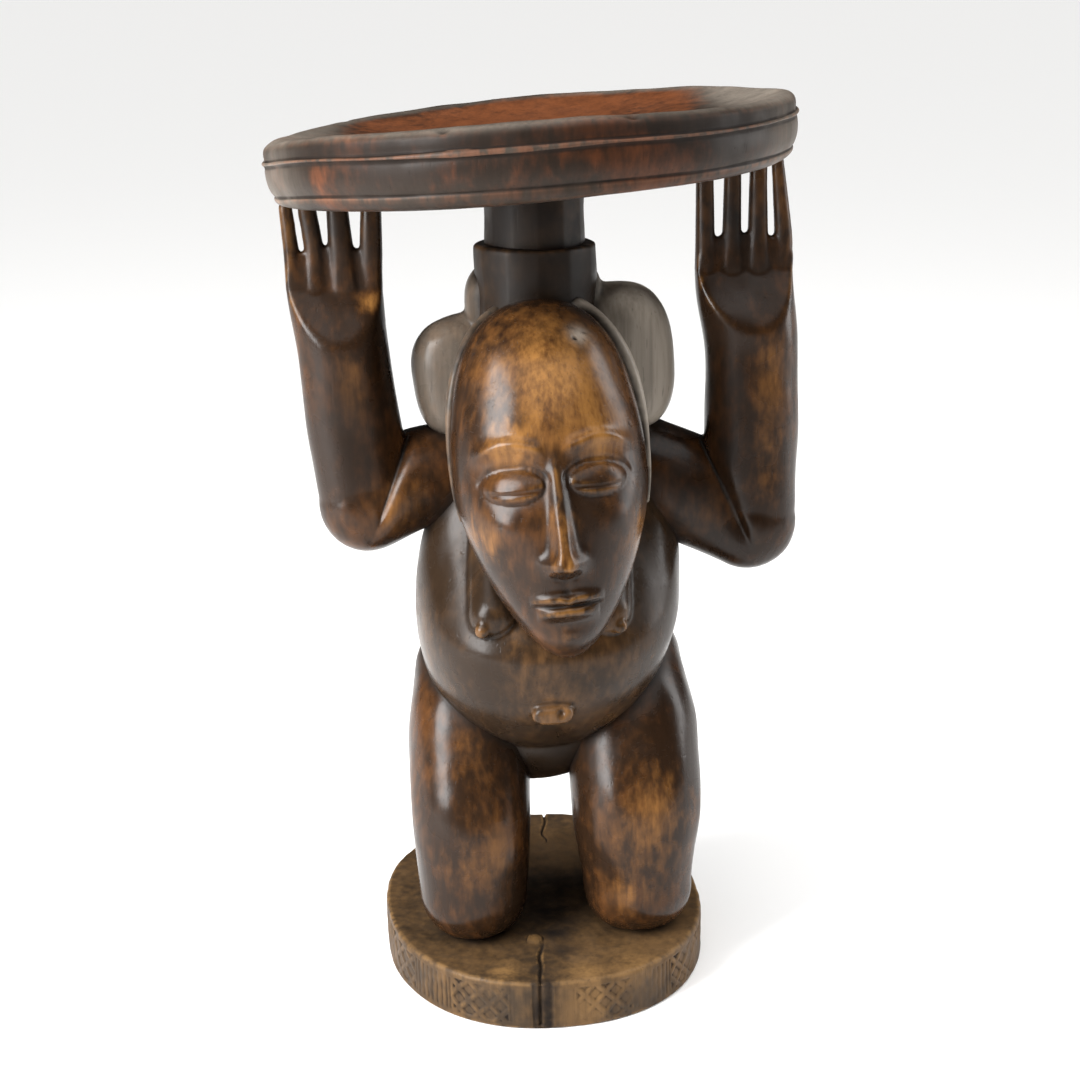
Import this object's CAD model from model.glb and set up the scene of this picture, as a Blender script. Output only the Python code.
# %% [markdown]
# # A caryatid stool in worn hardwood
# The real stool is one block of dark wood: a kneeling figure carries a dished seat on its hands and on a
# short column above its head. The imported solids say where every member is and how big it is. This lesson
# makes each member again as a finer mesh in the same place, and gives it the patina of oiled and handled
# wood.

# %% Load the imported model
import math

import bmesh
import bpy
import numpy as np
from mathutils import Matrix, Vector
from mathutils.bvhtree import BVHTree


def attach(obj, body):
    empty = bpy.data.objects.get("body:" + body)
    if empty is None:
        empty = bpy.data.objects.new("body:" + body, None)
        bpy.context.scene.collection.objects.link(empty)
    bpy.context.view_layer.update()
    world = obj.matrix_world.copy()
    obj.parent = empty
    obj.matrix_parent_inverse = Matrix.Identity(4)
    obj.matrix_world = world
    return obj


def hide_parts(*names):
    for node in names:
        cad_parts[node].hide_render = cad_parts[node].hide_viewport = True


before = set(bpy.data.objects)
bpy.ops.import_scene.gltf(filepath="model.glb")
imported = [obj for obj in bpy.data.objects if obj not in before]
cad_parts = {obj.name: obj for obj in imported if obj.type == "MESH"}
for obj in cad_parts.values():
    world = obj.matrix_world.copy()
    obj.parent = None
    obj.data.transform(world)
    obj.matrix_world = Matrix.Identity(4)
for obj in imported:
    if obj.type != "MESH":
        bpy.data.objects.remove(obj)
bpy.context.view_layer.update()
MM = 0.001
SIDES = (("right", -1), ("left", 1))
print(len(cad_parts), "nodes in the frame")

# %% [markdown]
# ## Camera
# The stool was seen from a little above, a touch to the figure's right, and the picture is turned by one
# degree. A camera has no such settings, so its matrix is put together from a place, a turn, a pitch and a
# roll.

# %% Camera
CAMERA_AWAY = 0.9335
CAMERA_HEIGHT = 0.540
CAMERA_TURN = math.radians(-4.5)
CAMERA_PITCH = math.radians(17.4)
CAMERA_ROLL = math.radians(-1.0)
FOCAL_PIXELS = 1760
FRAME_PIXELS = 1080
SENSOR = 36.0
FAR = 5000  # metres to where the camera stops seeing


def adjust(thing, **settings):
    for key, value in settings.items():
        setattr(thing, key, value)
    return thing


def put(name, data):
    """A new object in the scene."""
    thing = bpy.data.objects.new(name, data)
    bpy.context.scene.collection.objects.link(thing)
    return thing


lens = SENSOR * FOCAL_PIXELS / FRAME_PIXELS
camera = put("camera", adjust(bpy.data.cameras.new("camera"), sensor_width=SENSOR, lens=lens, clip_end=FAR))
place = (CAMERA_AWAY * math.sin(CAMERA_TURN), -CAMERA_AWAY * math.cos(CAMERA_TURN), CAMERA_HEIGHT)
camera.matrix_world = (
    Matrix.Translation(place)
    @ Matrix.Rotation(CAMERA_TURN, 4, "Z")
    @ Matrix.Rotation(math.pi / 2 - CAMERA_PITCH, 4, "X")
    @ Matrix.Rotation(CAMERA_ROLL, 4, "Z")
)
bpy.context.scene.camera = camera
print("lens", round(lens, 1), "mm")

# %% [markdown]
# ## Light and floor
# Dark polished wood is mostly seen by what it reflects. Broad soft boxes at both sides draw the long grey
# gleams down the limbs. The room is bright behind the stool and dim behind the camera, so that fronts
# stay dark. A wide soft sky lights the pale floor. The wood mirrors a floor that is grey far in front,
# but the Light Path node tells rays that come straight from the camera apart, so floor and room look pale
# from every side.

# %% Node tools
def add(tree, kind, inputs=(), **settings):
    """A node with its settings, and with values or links for its inputs by number or by name."""
    node = adjust(tree.nodes.new(kind), **settings)
    for key, value in inputs.items() if isinstance(inputs, dict) else enumerate(inputs):
        if isinstance(value, bpy.types.NodeSocket):
            tree.links.new(value, node.inputs[key])
        elif value is not None:
            node.inputs[key].default_value = value
    return node


def maths(tree, operation, first, second=None):
    return add(tree, "ShaderNodeMath", (first, second), operation=operation).outputs[0]


def blend(tree, share, first, second):
    return add(tree, "ShaderNodeMix", {0: share, 6: first, 7: second}, data_type="RGBA").outputs[2]


def fade(tree, value, low, high, start=0.0, end=1.0):
    node = add(tree, "ShaderNodeMapRange", (value, low, high, start, end), interpolation_type="SMOOTHSTEP")
    return node.outputs[0]


# %% Lamps and room
ROOM_BRIGHT = 0.0458
ROOM_DIM = 0.0071
ROOM_TURN = (-0.75, 0.35)  # from dim in front to bright behind, along Y
ROOM_COLOUR = (1.0, 1.0, 0.992, 1.0)
BACKDROP = 0.865  # brightness of the room where it is seen directly
SKY_STRENGTH = 3.0
SKY_SPREAD = math.radians(80)
SKY_LEAN = math.radians(12)
MIDDLE = (0.0, 0.0, 0.26)  # what the soft boxes are aimed at


def soft_box(name, spot, size, watts):
    data = bpy.data.lights.new(name, "AREA")
    lamp = put(name, adjust(data, shape="RECTANGLE", size=size[0], size_y=size[1], energy=watts))
    lamp.location = spot
    lamp.rotation_euler = (Vector(MIDDLE) - Vector(spot)).to_track_quat("-Z", "Y").to_euler()


soft_box("left_box", (-1.30, -0.75, 0.85), (0.75, 1.2), 66)
soft_box("right_box", (1.45, 0.05, 0.75), (0.5, 1.3), 16)
sky = adjust(bpy.data.lights.new("sky", "SUN"), energy=SKY_STRENGTH, angle=SKY_SPREAD)
put("sky", sky).rotation_euler = (SKY_LEAN, 0, 0)

world = adjust(bpy.data.worlds.new("room"), use_nodes=True)
room = world.node_tree
direction = add(room, "ShaderNodeTexCoord").outputs["Generated"]
facing = add(room, "ShaderNodeSeparateXYZ", (direction,)).outputs["Y"]
glow = add(room, "ShaderNodeMapRange", (facing, *ROOM_TURN, ROOM_DIM, ROOM_BRIGHT)).outputs[0]
straight = add(room, "ShaderNodeLightPath").outputs["Is Camera Ray"]
strength = add(room, "ShaderNodeMix", {0: straight, 2: glow, 3: BACKDROP}).outputs[0]
room.nodes["Background"].inputs["Color"].default_value = ROOM_COLOUR
room.links.new(strength, room.nodes["Background"].inputs["Strength"])
bpy.context.scene.world = world
bpy.context.scene.view_settings.view_transform = "Standard"
print("two soft boxes, a sky and a room")

# %% Floor
FLOOR_HALF = 2000.0
FLOOR_DROP = 0.2 * MM  # keeps the floor clear of the base's underside
FLOOR_FADE = (-1.5, -0.4)  # from grey to pale, along Y
FLOOR_GREY = (0.30, 0.30, 0.30, 1.0)
FLOOR_PALE = (0.95, 0.945, 0.935, 1.0)


def write_mesh(form, name):
    mesh = bpy.data.meshes.new(name)
    form.to_mesh(mesh)
    form.free()
    return mesh


def new_material(name):
    material = adjust(bpy.data.materials.new(name), use_nodes=True)
    return material, material.node_tree, material.node_tree.nodes["Principled BSDF"]


form = bmesh.new()
bmesh.ops.create_grid(form, x_segments=4, y_segments=4, size=FLOOR_HALF)
floor = put("floor", write_mesh(form, "floor"))
floor.location.z = -FLOOR_DROP
paper, sheet, shader = new_material("pale_paper")
where = add(sheet, "ShaderNodeTexCoord").outputs["Object"]
forward = add(sheet, "ShaderNodeSeparateXYZ", (where,)).outputs["Y"]
straight = add(sheet, "ShaderNodeLightPath").outputs["Is Camera Ray"]
pale = maths(sheet, "MAXIMUM", fade(sheet, forward, *FLOOR_FADE), straight)
shader.inputs["Roughness"].default_value = 0.9
sheet.links.new(blend(sheet, pale, FLOOR_GREY, FLOOR_PALE), shader.inputs["Base Color"])
floor.data.materials.append(paper)
print("floor", round(2 * FLOOR_HALF), "m wide")

# %% [markdown]
# ## Clay tools
# A carved figure is easiest to model like clay. Rough limbs and lumps are laid over each other, a voxel
# Remesh melts them into one skin, and a Smooth modifier softens the creases as years of handling do. Fine
# cuts come afterwards: each one is a formula that says how far every vertex moves.

# %% Clay tools
LINE_STEPS = 8
DOME_RINGS = 8
WAVE_COUNT = 14


def new_piece(name, mesh):
    return put(f"{name}_wood", mesh)


def tell(name, *made):
    print(name, sum(len(piece.data.polygons) for piece in made), "faces")


def apply_modifiers(piece):
    graph = bpy.context.evaluated_depsgraph_get()
    mesh = bpy.data.meshes.new_from_object(piece.evaluated_get(graph))
    piece.modifiers.clear()
    old = piece.data
    piece.data = mesh
    bpy.data.meshes.remove(old)
    mesh.name = piece.name
    return piece


# %% Limbs and balls
def smooth_line(spots, steps=LINE_STEPS):
    """More spots on a smooth curve through those given."""
    line = np.array(spots, float)
    line = np.vstack((2 * line[0] - line[1], line, 2 * line[-1] - line[-2]))
    found = []
    for before, start, end, after in zip(line, line[1:], line[2:], line[3:]):
        bend = 2 * before - 5 * start + 4 * end - after
        twist = 3 * start - before - 3 * end + after
        for t in np.arange(steps) / steps:
            found.append(start + 0.5 * (t * (end - before) + t * t * bend + t**3 * twist))
    return np.array([*found, line[-2]])


def domed(line, last_cap, fullness):
    """A line of x, y, z and radius with a dome at each end. fullness under 1 makes the first one squarer."""
    domes = []
    for end, inner, height, power in ((line[0], line[1], 1.0, fullness), (line[-1], line[-2], last_cap, 1.0)):
        outward = (end - inner)[:3] / np.linalg.norm((end - inner)[:3])
        angles = np.linspace(0, math.pi / 2, DOME_RINGS + 1)[1:] * 0.98
        ways = end[:3] + outward * (end[3] * height * np.sin(angles) ** power)[:, None]
        domes.append(np.column_stack((ways, end[3] * np.cos(angles) ** power)))
    return np.vstack((domes[0][::-1], line, domes[1]))


def limb(stations, squash=(1, 1, 1), last_cap=1.0, fullness=1.0):
    """A tapering round limb through stations of x, y, z and radius. squash flattens its section."""
    flat = np.array((*squash, 1.0))
    line = domed(smooth_line(np.array(stations) / flat), last_cap, fullness)
    curve = bpy.data.curves.new("limb", "CURVE")
    adjust(curve, dimensions="3D", bevel_depth=1.0, bevel_resolution=20, use_fill_caps=True)
    spline = curve.splines.new("POLY")
    spline.points.add(len(line) - 1)
    for point, station in zip(spline.points, line):
        point.co = (*station[:3], 1.0)
        point.radius = station[3]
    guide = new_piece("limb", curve)
    bpy.context.view_layer.update()
    mesh = bpy.data.meshes.new_from_object(guide.evaluated_get(bpy.context.evaluated_depsgraph_get()))
    bpy.data.objects.remove(guide)
    mesh.transform(Matrix.Diagonal((*squash, 1.0)))
    return mesh


def unit_ball(name, segments, rings):
    form = bmesh.new()
    bmesh.ops.create_uvsphere(form, u_segments=segments, v_segments=rings, radius=1.0)
    return write_mesh(form, name)


def ball(centre, radii, squareness=2.0, segments=96, rings=64):
    """A ball of three radii. A squareness over 2 swells it towards its corners."""
    mesh = unit_ball("ball", segments, rings)
    spots = points_of(mesh)
    spots *= (np.abs(spots) ** squareness).sum(1, keepdims=True) ** (-1 / squareness)
    set_points(mesh, spots * np.array(radii) + np.array(centre))
    return mesh


# %% Points of a mesh
def points_of(mesh):
    flat = np.empty(len(mesh.vertices) * 3, np.float32)
    mesh.vertices.foreach_get("co", flat)
    return flat.reshape(-1, 3).astype(float)


def normals_of(mesh):
    flat = np.empty(len(mesh.vertices) * 3, np.float32)
    mesh.vertex_normals.foreach_get("vector", flat)
    return flat.reshape(-1, 3).astype(float)


def set_points(mesh, spots):
    mesh.vertices.foreach_set("co", spots.astype(np.float32).ravel())
    mesh.update()


def push(piece, amounts):
    """Moves each vertex outwards along its normal."""
    set_points(piece.data, points_of(piece.data) + normals_of(piece.data) * amounts[:, None])


def melt(name, shapes, voxel, rounds):
    """One skin round all the shapes, with its creases softened by rounds of smoothing."""
    form = bmesh.new()
    for shape in shapes:
        form.from_mesh(shape)
        bpy.data.meshes.remove(shape)
    piece = new_piece(name, write_mesh(form, name))
    adjust(piece.modifiers.new("skin", "REMESH"), mode="VOXEL", voxel_size=voxel)
    adjust(piece.modifiers.new("soften", "SMOOTH"), factor=0.5, iterations=rounds)
    return apply_modifiers(piece)


# %% Formulas for unevenness
def waves(spots, size, seed):
    """Smooth unevenness of about -1 to 1, from sine waves about size long in seeded directions."""
    rng = np.random.default_rng(seed)
    total = np.zeros(len(spots))
    for _ in range(WAVE_COUNT):
        way = rng.normal(size=3)
        way *= 2 * math.pi / (size * rng.uniform(0.7, 1.5) * np.linalg.norm(way))
        total += np.sin(spots @ way + rng.uniform(0, 2 * math.pi))
    return total / math.sqrt(WAVE_COUNT)


def roughen(piece, spots, *layers):
    """Makes the skin uneven. A layer is a wave's length and height in millimetres, and its seed."""
    push(piece, sum(waves(spots, size * MM, seed) * height * MM for size, height, seed in layers))


def bell(*shares):
    """1 where every share is 0, falling smoothly to 0 past 1."""
    return np.exp(-sum(np.square(share) for share in shares))


def near(spots, place, radius):
    """1 at a place, falling smoothly to 0 past the radius."""
    return bell(np.linalg.norm(spots - np.array(place), axis=1) / radius)


def ramp(values, low, high):
    """0 up to a low value and 1 from a high one, with a smooth rise between them."""
    share = np.clip((values - low) / (high - low), 0, 1)
    return share * share * (3 - 2 * share)


# %% [markdown]
# ## Seat
# The seat is a thick disc with a shallow dish. Its rim has an upper band with a round crest, a cut
# groove, and a lower band that leans in to a small lip. A profile is drawn once and a Screw modifier
# turns it. The carver had no lathe, so the turned mesh is then made uneven and nicked. Its near rim is
# raised, and it is tilted.

# %% Seat
SEAT_TILT = math.radians(4.5)
UNDERSIDE_LEVEL = 445.3 * MM
RIM = 139 * MM
SEAT_THICKNESS = 32.5 * MM
DISH_DEPTH = 12 * MM
DISH_RADIUS = 127 * MM
SEAT_COLUMNS = 480
BACK_LIFT = 1.7 * MM  # the far rim is a little higher
FRONT_LIFT = 7.2 * MM  # the near rim is a good deal higher, but less so on the figure's left
LIFT_SHARES = ((0, 5, 22, 32), (0.34, 0.70, 0.80, 1.0))  # millimetres above the underside, shares of the lift
LIFT_LOSS = 0.84  # share of the lift that is lost at the figure's left end
NICK_RADIUS = 134  # millimetres from the axis
NICKS = (  # millimetres: x, 1 in front or -1 behind, depth and radius
    (-47, 1, 1.5, 2.6), (38, 1, 1.7, 2.4), (96, 1, 0.8, 3.0), (-98, -1, 1.0, 3.4),
)
SEAT_PLACE = Matrix.Translation((0, 0, UNDERSIDE_LEVEL)) @ Matrix.Rotation(-SEAT_TILT, 4, "Y")
RIM_OUTLINE = (  # millimetres from the axis and above the underside
    (127.0, 31.3), (129.6, 31.9), (132.2, 31.8), (134.6, 31.0), (136.3, 29.3), (136.9, 27.0),
    (136.8, 24.6), (137.0, 23.5), (138.0, 22.8), (138.3, 22.0), (137.5, 21.2), (137.1, 20.0),
    (137.4, 17.8), (137.3, 14.2), (136.6, 10.4), (135.3, 7.4), (134.1, 5.6), (134.4, 4.4),
    (133.8, 2.9), (131.6, 1.3), (127.5, 0.3), (121.0, 0.0),
)


def lathe(name, profile, columns):
    """A profile of radius and level, from the top of the axis outwards and down, turned about Z."""
    form = bmesh.new()
    spots = [form.verts.new((radius, 0.0, level)) for radius, level in profile]
    for start, end in zip(spots, spots[1:]):
        form.edges.new((start, end))
    piece = new_piece(name, write_mesh(form, name))
    adjust(piece.modifiers.new("turn", "SCREW"), axis="Z", steps=columns, render_steps=columns)
    apply_modifiers(piece)
    form = bmesh.new()
    form.from_mesh(piece.data)
    bmesh.ops.remove_doubles(form, verts=form.verts, dist=0.001 * MM)
    bmesh.ops.recalc_face_normals(form, faces=form.faces)
    form.to_mesh(piece.data)
    form.free()
    return piece


def make_seat():
    shares = np.linspace(0, 1, 30)[:-1]
    dish = np.column_stack((shares * DISH_RADIUS, SEAT_THICKNESS - DISH_DEPTH * (1 - shares**2.4) - 1.2 * MM))
    rim = smooth_line(np.array(RIM_OUTLINE) * MM, 4)
    under = np.column_stack((np.linspace(rim[-1][0], 0, 9)[1:], np.zeros(8)))
    seat = lathe("seat", np.vstack((dish, rim, under)), SEAT_COLUMNS)
    spots = points_of(seat.data)
    side = ramp(np.hypot(spots[:, 0], spots[:, 1]), 100 * MM, RIM) * ramp(spots[:, 2], 0, 2 * MM)
    drift = waves(spots * (1, 1, 0.3), 90 * MM, 3) * 0.4 * MM + waves(spots, 26 * MM, 4) * 0.14 * MM
    push(seat, drift * (0.35 + 0.65 * side) * ramp(spots[:, 2], -1 * MM, 1 * MM))
    spots = points_of(seat.data)
    spots[:, 2] += waves(spots * (1, 1, 0), 120 * MM, 5) * 0.4 * MM * side
    spots[:, 2] += BACK_LIFT * ramp(spots[:, 1], 10 * MM, 130 * MM) * side
    for x, front, depth, radius in NICKS:
        crest = np.array((x, -front * math.sqrt(NICK_RADIUS**2 - x * x), 32)) * MM
        spots[:, 2] -= near(spots, crest, radius * MM) * depth * MM
    heights = spots[:, 2] / MM
    lift = FRONT_LIFT * ramp(-spots[:, 1], -10 * MM, 105 * MM)
    lift *= 1 - LIFT_LOSS * ramp(spots[:, 0], 10 * MM, 115 * MM)
    spots[:, 2] += lift * np.interp(heights, *LIFT_SHARES)
    set_points(seat.data, spots)
    seat.data.transform(SEAT_PLACE)
    return seat, heights


seat, seat_heights = make_seat()
tell("seat", seat)

# %% [markdown]
# ## Column
# Between the head and the seat stand two drums that were cut with flat strokes: a collar and a narrower
# stem. Both are turned from a profile too, and then each flat is pressed in with a formula round the
# angle.

# %% Column
COLLAR_TOP = 412.5 * MM
COLLAR_FOOT = 370.5 * MM
COLLAR_RADIUS = 32.5 * MM
STEM_RADIUS = 26.5 * MM
FACETS = 12
COLUMN_EDGE = 2.2 * MM
FLATNESS = 0.38  # how far the round drum gives way to plane flats


def make_drum(name, radius, foot, top, seed):
    """A faceted drum. Its top edge is rounded and its foot is sunk in what carries it."""
    edge = [(radius - COLUMN_EDGE * (1 - math.sin(a)), top - COLUMN_EDGE * (1 - math.cos(a)))
            for a in np.linspace(0, math.pi / 2, 5)]
    wall = [(radius, level) for level in np.linspace(top - COLUMN_EDGE, foot, 24)[1:]]
    flat = [(share * (radius - COLUMN_EDGE), top) for share in (0, 0.4, 0.8)]
    drum = lathe(name, [*flat, *edge, *wall, (radius * 0.5, foot), (0, foot)], FACETS * 16)
    spots = points_of(drum.data)
    turn = np.arctan2(spots[:, 1], spots[:, 0]) + waves(spots * (0, 0, 1), 60 * MM, seed) * 0.05
    off = (turn * FACETS / (2 * math.pi)) % 1 - 0.5
    corner = math.pi / FACETS
    flat_share = math.cos(corner) / np.cos(off * 2 * corner)
    spots[:, :2] *= (1 - FLATNESS + FLATNESS * flat_share)[:, None]
    set_points(drum.data, spots)
    roughen(drum, spots, (24, 0.3, seed + 1))
    return drum


collar = make_drum("collar", COLLAR_RADIUS, COLLAR_FOOT, COLLAR_TOP, 11)
stem = make_drum("stem", STEM_RADIUS, COLLAR_TOP - 3 * MM, UNDERSIDE_LEVEL + 3.5 * MM, 13)
tell("column", collar, stem)

# %% [markdown]
# ## Base
# The figure kneels on an oval plinth. Its side wears a traditional band: panels of crossed lines that
# leave small sunk diamonds, with upright hatching between them. Each cut is a height in the wall's own
# coordinates, along the wall and up it, so the pattern runs round the oval by itself. Two drying cracks
# run in from the edge. The front one has been filled with dark mastic in a wide strip, and a wooden plug
# is let into the top behind it.

# %% Sizes of the base
BASE_WIDTH = 184 * MM
BASE_DEPTH = 206 * MM
BASE_THICKNESS = 28 * MM
BASE_SQUARENESS = 2.2
BASE_PLACE = Matrix.Translation((-2 * MM, 3.5 * MM, 0)) @ Matrix.Rotation(math.radians(4), 4, "Z")
LATTICE_PITCH = 12.6
BAND_LOW = 3.0
BAND_HIGH = 24.8
MEND_ANGLE = -99.8  # degrees to the filled crack at the front
MEND_HALF = 5.6
PLAIN = 18.0  # millimetres of plain wall each side of the filled crack
PANEL = 64.0
LATTICE_SHARE = 0.56
BASE_EDGE = 2.6
BASE_COLUMNS = 960
PLUG = (-10.9, -52.0)
CRACKS = ((MEND_ANGLE - 0.8, 46.0, 1.0), (79.4, 44.0, 0.8))  # angle, length inwards and width in millimetres

# %% Pattern on the base's wall
def stripe(values, pitch, width, soft=0.35):
    """1 on lines of that width, one in each pitch, and 0 between them."""
    off = np.abs(values / pitch - np.round(values / pitch)) * pitch
    return 1 - ramp(off, width / 2 - soft, width / 2 + soft)


def wall_pattern(along, up):
    """Depth of the cut, from 0 to 1, at millimetres along the wall from the filled crack and up it."""
    reach = np.abs(along) - PLAIN
    spot = reach % PANEL
    lattice_end = PANEL * LATTICE_SHARE
    ribs = np.maximum(stripe(spot + up, LATTICE_PITCH, 3.6, 0.8), stripe(spot - up, LATTICE_PITCH, 3.6, 0.8))
    lattice = (1 - ribs) * ramp(spot, 1.0, 2.2) * (1 - ramp(spot, lattice_end - 1.2, lattice_end))
    hatch = stripe(spot, 3.6, 1.4, 0.5) * ramp(spot, lattice_end + 2.6, lattice_end + 3.6)
    hatch *= 1 - ramp(spot, PANEL - 2.4, PANEL - 1.2)
    posts = np.maximum(stripe(spot, PANEL, 1.2, 0.5), stripe(spot - lattice_end - 1.4, PANEL, 1.2, 0.5))
    inside = ramp(up, BAND_LOW, BAND_LOW + 1.2) * (1 - ramp(up, BAND_HIGH - 1.2, BAND_HIGH))
    inside *= ramp(reach, -1, 0.5)
    rail = bell((up - BAND_HIGH - 0.8) / 0.7)
    cuts = np.maximum(lattice, 0.7 * np.maximum(hatch, posts))
    return np.maximum(cuts * inside, 0.4 * rail)


# %% Shape of the base
def base_profile():
    """Radius and level in millimetres, for a round base of radius 100."""
    top = BASE_THICKNESS / MM
    rings = np.concatenate((np.linspace(0, 40, 9), np.linspace(40, 100 - BASE_EDGE, 44)[1:]))
    profile = [(radius, top) for radius in rings]
    for a in np.linspace(0.2, 1.57, 6):
        profile.append((100 - BASE_EDGE * (1 - math.sin(a)), top - BASE_EDGE * (1 - math.cos(a))))
    profile += [(100.0, level) for level in np.linspace(top - BASE_EDGE, 1.2, 40)[1:]]
    return profile + [(99.4, 0.3), (98.2, 0.0), (80.0, 0.0), (40.0, 0.0), (0.0, 0.0)]


def turned_from(angle, degrees):
    """Angles counted from a direction, from half a turn back to half a turn on."""
    return (angle - math.radians(degrees) + math.pi) % (2 * math.pi) - math.pi


def crack_shares(angle, reach, level):
    """1 in the middle of a drying crack and 0 outside it."""
    shares = np.zeros(len(reach))
    for degrees, length, width in CRACKS:
        wander = 1.1 * waves(np.column_stack((reach, level, level * 0)) * MM, 16 * MM, int(length))
        off = turned_from(angle, degrees) * reach - wander * ramp(100 - reach, 0, 8)
        open_share = (1 - ramp(100 - reach, length * 0.5, length)) * ramp(level, 0.5, 2)
        shares = np.maximum(shares, bell(off / width) * open_share)
    return shares


def make_base():
    base = lathe("base", np.array(base_profile()) * MM, BASE_COLUMNS)
    spots = points_of(base.data) / MM
    reach = np.hypot(spots[:, 0], spots[:, 1])
    angle = np.arctan2(spots[:, 1], spots[:, 0])
    level = spots[:, 2].copy()
    unit = spots[:, :2] / 100
    round_share = np.maximum(np.hypot(unit[:, 0], unit[:, 1]), 1e-9)
    square = np.maximum((np.abs(unit / round_share[:, None]) ** BASE_SQUARENESS).sum(1), 1e-9)
    square = np.where(reach > 0.01, square ** (-1 / BASE_SQUARENESS), 1.0)
    spots[:, :2] = unit * square[:, None] * (BASE_WIDTH / 2 / MM, BASE_DEPTH / 2 / MM)
    set_points(base.data, spots * MM)
    outward = normals_of(base.data)
    top = BASE_THICKNESS / MM
    on_wall = ramp(reach, 99.0, 99.9) * ramp(level, 0.8, 1.6)
    on_top = ramp(level, top - 3, top - 0.5)
    along = turned_from(angle, MEND_ANGLE) * (BASE_WIDTH + BASE_DEPTH) / 4 / MM
    rough = waves(spots * MM, 9 * MM, 21)
    worn = np.clip(0.66 + 0.35 * waves(spots * MM, 38 * MM, 22), 0.2, 1.0)
    depth = 0.7 * wall_pattern(along, level) * on_wall * worn
    drift = 0.8 * waves(spots * MM, 30 * MM, 25)
    depth += 0.8 * (1 - ramp(np.abs(along + drift), MEND_HALF - 0.5, MEND_HALF + 0.5)) * on_wall
    depth += (0.3 * waves(spots * MM, 40 * MM, 23) + 0.12 * rough) * np.maximum(on_top, on_wall)
    depth += 0.9 * np.clip(waves(spots * MM, 34 * MM, 24), 0, 1) * on_top * (1 - ramp(reach, 80, 98))
    depth += 2.2 * crack_shares(angle, reach, level)
    spots -= outward * depth[:, None]
    spots[level < 0.2, 2] = 0
    set_points(base.data, spots * MM)
    base.data.transform(BASE_PLACE)
    spots = points_of(base.data)
    plug = np.hypot(spots[:, 0] / MM - PLUG[0], spots[:, 1] / MM - PLUG[1])
    spots[:, 2] += 0.9 * MM * (1 - ramp(plug, 3.6, 4.8)) * ramp(spots[:, 2], 20 * MM, 24 * MM)
    set_points(base.data, spots)
    return base


base = make_base()
tell("base", base)

# %% [markdown]
# ## Legs
# The figure kneels upright: two heavy thighs, shins that lie back along the base, and feet with the soles
# up. Thighs are plain limbs. Each shin and foot are melted together, and the toes are cut as grooves.

# %% Sizes of the legs
MIDLINE = 4.2 * MM
BASE_TOP = BASE_THICKNESS
LEG_SPREAD = 46.5 * MM
KNEE_RADIUS = 31 * MM
KNEE_FORWARD = 34 * MM
KNEE_LEVEL = BASE_TOP + 29.3 * MM
THIGH_RISE = 118 * MM
THIGH_RADIUS = {-1: 34 * MM, 1: 37 * MM}
HIP_BACK = 8 * MM
HIP_LEVEL = KNEE_LEVEL + THIGH_RISE
SHIN_RADIUS = 20 * MM
ANKLE = 50 * MM
FOOT_RADIUS = 15 * MM
FOOT_LENGTH = 34 * MM
FOOT_WIDENING = 1.25
TOES_IN = 3 * MM
LEG_SHIFT = 1.4 * MM  # both thighs stand a little to the figure's right
SOFT = 1.5 * MM  # voxel size of the broad, smooth members
SINK = 0.6 * MM  # how far the legs go into the base

# %% Thighs, shins and feet
def rest_on_base(piece):
    spots = points_of(piece.data)
    spots[:, 2] = np.maximum(spots[:, 2], BASE_TOP - SINK)
    set_points(piece.data, spots)
    return piece


def make_thigh(word, side):
    x = MIDLINE + side * LEG_SPREAD - LEG_SHIFT
    radius = THIGH_RADIUS[side]
    stations = [
        (x, -KNEE_FORWARD, KNEE_LEVEL, KNEE_RADIUS),
        (x, -KNEE_FORWARD * 0.9, KNEE_LEVEL + THIGH_RISE * 0.35, radius * 0.98),
        (x, -KNEE_FORWARD * 0.35, KNEE_LEVEL + THIGH_RISE * 0.7, radius),
        (x - side * 2 * MM, HIP_BACK, HIP_LEVEL - 6 * MM, radius * 0.9),
    ]
    thigh = melt(f"{word}_thigh", [limb(stations, fullness=0.78)], SOFT, 6)
    roughen(thigh, points_of(thigh.data), (60, 0.5, 31 + side), (22, 0.12, 33 + side))
    return rest_on_base(thigh)


def make_lower_leg(word, side):
    x = MIDLINE + side * LEG_SPREAD
    level = BASE_TOP + FOOT_RADIUS * 0.8
    toes = ANKLE + FOOT_LENGTH - FOOT_RADIUS
    shin = limb([
        (x, -KNEE_FORWARD * 0.8, BASE_TOP + SHIN_RADIUS * 0.8, SHIN_RADIUS),
        (x, ANKLE * 0.4, BASE_TOP + SHIN_RADIUS * 0.8, SHIN_RADIUS),
        (x, ANKLE, level, FOOT_RADIUS * 0.95),
    ])
    heel = ball((x, ANKLE + 2 * MM, level + 3 * MM), (FOOT_RADIUS * 1.05, FOOT_RADIUS, FOOT_RADIUS))
    inward = x - side * TOES_IN
    sole = limb([(x, ANKLE, level, FOOT_RADIUS * 0.9),
                 (inward, toes, level - 2 * MM, FOOT_RADIUS * 0.92)], (FOOT_WIDENING, 1, 1))
    leg = melt(f"{word}_lower_leg", [shin, heel, sole], 1.2 * MM, 6)
    spots = points_of(leg.data)
    across = (spots[:, 0] - inward) / (FOOT_RADIUS * FOOT_WIDENING)
    cuts = sum(bell((across - place) / 0.07) for place in (-0.55, -0.15, 0.2, 0.52))
    push(leg, -cuts * 1.3 * MM * ramp(spots[:, 1], toes - 2 * MM, toes + 6 * MM))
    roughen(leg, spots, (30, 0.3, 41 + side))
    return rest_on_base(leg)


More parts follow.
